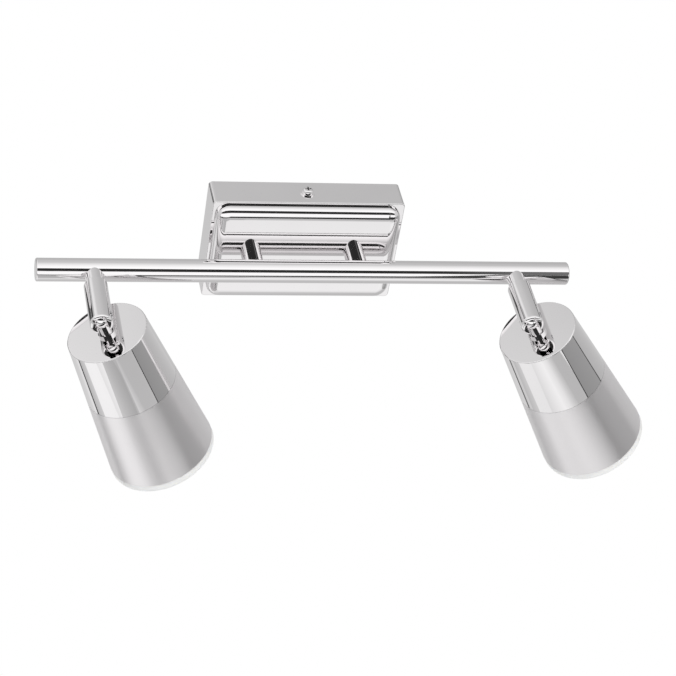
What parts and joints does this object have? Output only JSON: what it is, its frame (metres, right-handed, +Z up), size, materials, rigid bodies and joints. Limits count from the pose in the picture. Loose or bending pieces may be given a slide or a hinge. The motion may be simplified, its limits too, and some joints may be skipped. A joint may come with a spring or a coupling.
{
  "type": "pivoting spotlight wall light",
  "caption": "Wall light with swivelling, tilting LED spot heads on a round bar carried by a shallow rectangular canopy.",
  "frame": {"origin": "wall plane at the centre of the canopy and of the bracket's screw slots", "axes": "+X along the bar to the right seen from the room, -Y out of the wall into the room, +Z up; metres"},
  "size_m": [0.4073, 0.126, 0.1681],
  "materials": {
    "chrome": "polished",
    "satin_nickel": "satin",
    "zinc_steel": "zinc plated",
    "brass": "machined",
    "bush_rubber": "matt",
    "driver_plastic": "matt",
    "terminal_plastic": "matt",
    "aluminium": "cast",
    "board_white": "solder mask",
    "reflector_white": "gloss",
    "opal_plastic": "opal"
  },
  "bodies": {
    "mount_and_bar": {"wall_bracket": "zinc_steel", "canopy_cover": "chrome", "canopy_screws": "chrome", "canopy_screw_washers": "chrome", "cable_bush": "bush_rubber", "led_driver": "driver_plastic", "terminal_block": "terminal_plastic", "terminal_screws": "brass", "earth_screw": "brass", "post_left": "chrome", "post_right": "chrome", "post_nipples": "zinc_steel", "post_washers": "zinc_steel", "post_nuts": "zinc_steel", "bar_tube": "chrome", "end_cap_left": "chrome", "end_cap_right": "chrome", "collar_left": "chrome", "collar_right": "chrome", "saddle_washer_left": "zinc_steel", "saddle_washer_right": "zinc_steel"},
    "arm_left_body": {"arm_left": "chrome", "swivel_nipple_left": "zinc_steel", "swivel_nut_left": "zinc_steel", "pivot_screw_left": "zinc_steel"},
    "head_left_body": {"knuckle_left": "chrome", "head_cap_left": "chrome", "head_washer_left": "zinc_steel", "head_nut_left": "zinc_steel", "head_shade_left": "satin_nickel", "heat_sink_left": "aluminium", "led_board_left": "board_white", "board_screws_left": "zinc_steel", "reflector_left": "reflector_white", "diffuser_left": "opal_plastic"},
    "arm_right_body": {"arm_right": "chrome", "swivel_nipple_right": "zinc_steel", "swivel_nut_right": "zinc_steel", "pivot_screw_right": "zinc_steel"},
    "head_right_body": {"knuckle_right": "chrome", "head_cap_right": "chrome", "head_washer_right": "zinc_steel", "head_nut_right": "zinc_steel", "head_shade_right": "satin_nickel", "heat_sink_right": "aluminium", "led_board_right": "board_white", "board_screws_right": "zinc_steel", "reflector_right": "reflector_white", "diffuser_right": "opal_plastic"}
  },
  "joints": [
    {"name": "swivel_left", "type": "hinge", "parent": "mount_and_bar", "child": "arm_left_body", "pos_m": [-0.1385, -0.043, -0.0015], "axis": [0, -1, 0], "range_deg": [-194, 146]},
    {"name": "tilt_left", "type": "hinge", "parent": "arm_left_body", "child": "head_left_body", "pos_m": [-0.1385, -0.093, -0.0015], "axis": [0.9135, 0, 0.4067], "range_deg": [-91, 0]},
    {"name": "swivel_right", "type": "hinge", "parent": "mount_and_bar", "child": "arm_right_body", "pos_m": [0.1385, -0.043, -0.0015], "axis": [0, -1, 0], "range_deg": [-202, 138]},
    {"name": "tilt_right", "type": "hinge", "parent": "arm_right_body", "child": "head_right_body", "pos_m": [0.1385, -0.093, -0.0015], "axis": [0.848, 0, 0.5299], "range_deg": [-91, 0]}
  ]
}
